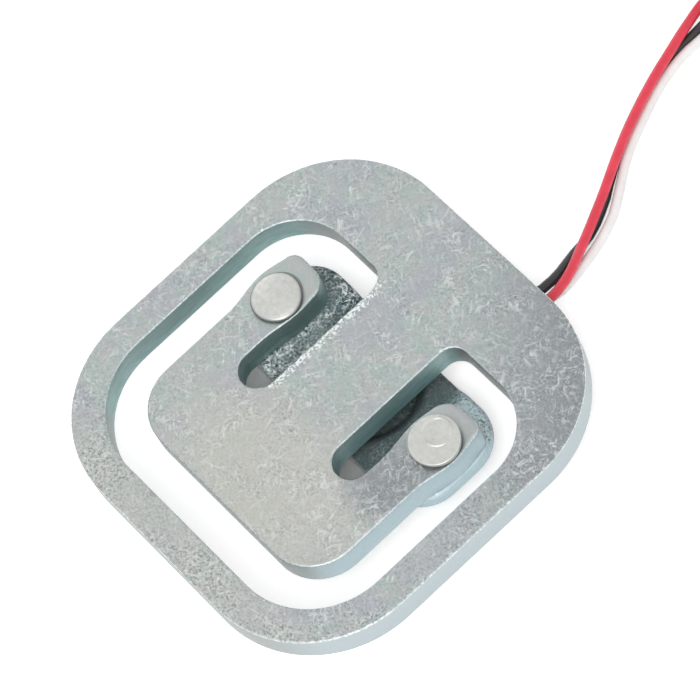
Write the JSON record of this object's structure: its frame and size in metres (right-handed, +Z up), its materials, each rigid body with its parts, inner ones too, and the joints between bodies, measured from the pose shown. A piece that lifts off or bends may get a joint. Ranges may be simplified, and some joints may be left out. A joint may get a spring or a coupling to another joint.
{
  "type": "half-bridge load cell",
  "caption": "Square stamped load cell for a scale: an E-shaped spring plate with a centre beam, a riveted bridge plate with a load button, and thin leads from its gauge.",
  "frame": {"origin": "centre of the spring plate's square outline, on the surface that the load button stands on; the leads and their coil aren't counted", "axes": "+Z up from the load button's crown through the plate, towards the rivet heads; +Y from the tip bar to the root band, where the leads come out; +X from the left arm to the right arm"},
  "size_m": [0.0345, 0.0751, 0.0063],
  "materials": {
    "zinc_plated_steel": "blue-white zinc plating over blanked steel, satin and slightly mottled",
    "rivet_steel": "nickel-plated steel, satin",
    "gauge_polyimide": "amber film, smooth",
    "constantan": "etched foil, satin",
    "solder": "solidified tin solder, bright",
    "tinned_copper": "tinned strands, satin",
    "white_silicone": "cured silicone, satin",
    "black_insulation": "extruded PVC insulation, satin",
    "white_insulation": "extruded PVC insulation, satin",
    "red_insulation": "extruded PVC insulation, satin",
    "clear_band": "moulded plastic band, satin"
  },
  "bodies": {
    "root": {"spring_plate": "zinc_plated_steel", "bridge_plate": "zinc_plated_steel", "rivet_left": "rivet_steel", "rivet_right": "rivet_steel", "gauge_film": "gauge_polyimide", "gauge_foil": "constantan", "solder_joint_black": "solder", "solder_joint_white": "solder", "solder_joint_red": "solder", "inner_end_black": "tinned_copper", "inner_end_white": "tinned_copper", "inner_end_red": "tinned_copper", "silicone_cover": "white_silicone", "lead_black": "black_insulation", "lead_white": "white_insulation", "lead_red": "red_insulation", "bare_end_black": "tinned_copper", "bare_end_white": "tinned_copper", "bare_end_red": "tinned_copper", "lead_coil": "black_insulation", "coil_band": "clear_band"}
  },
  "joints": []
}
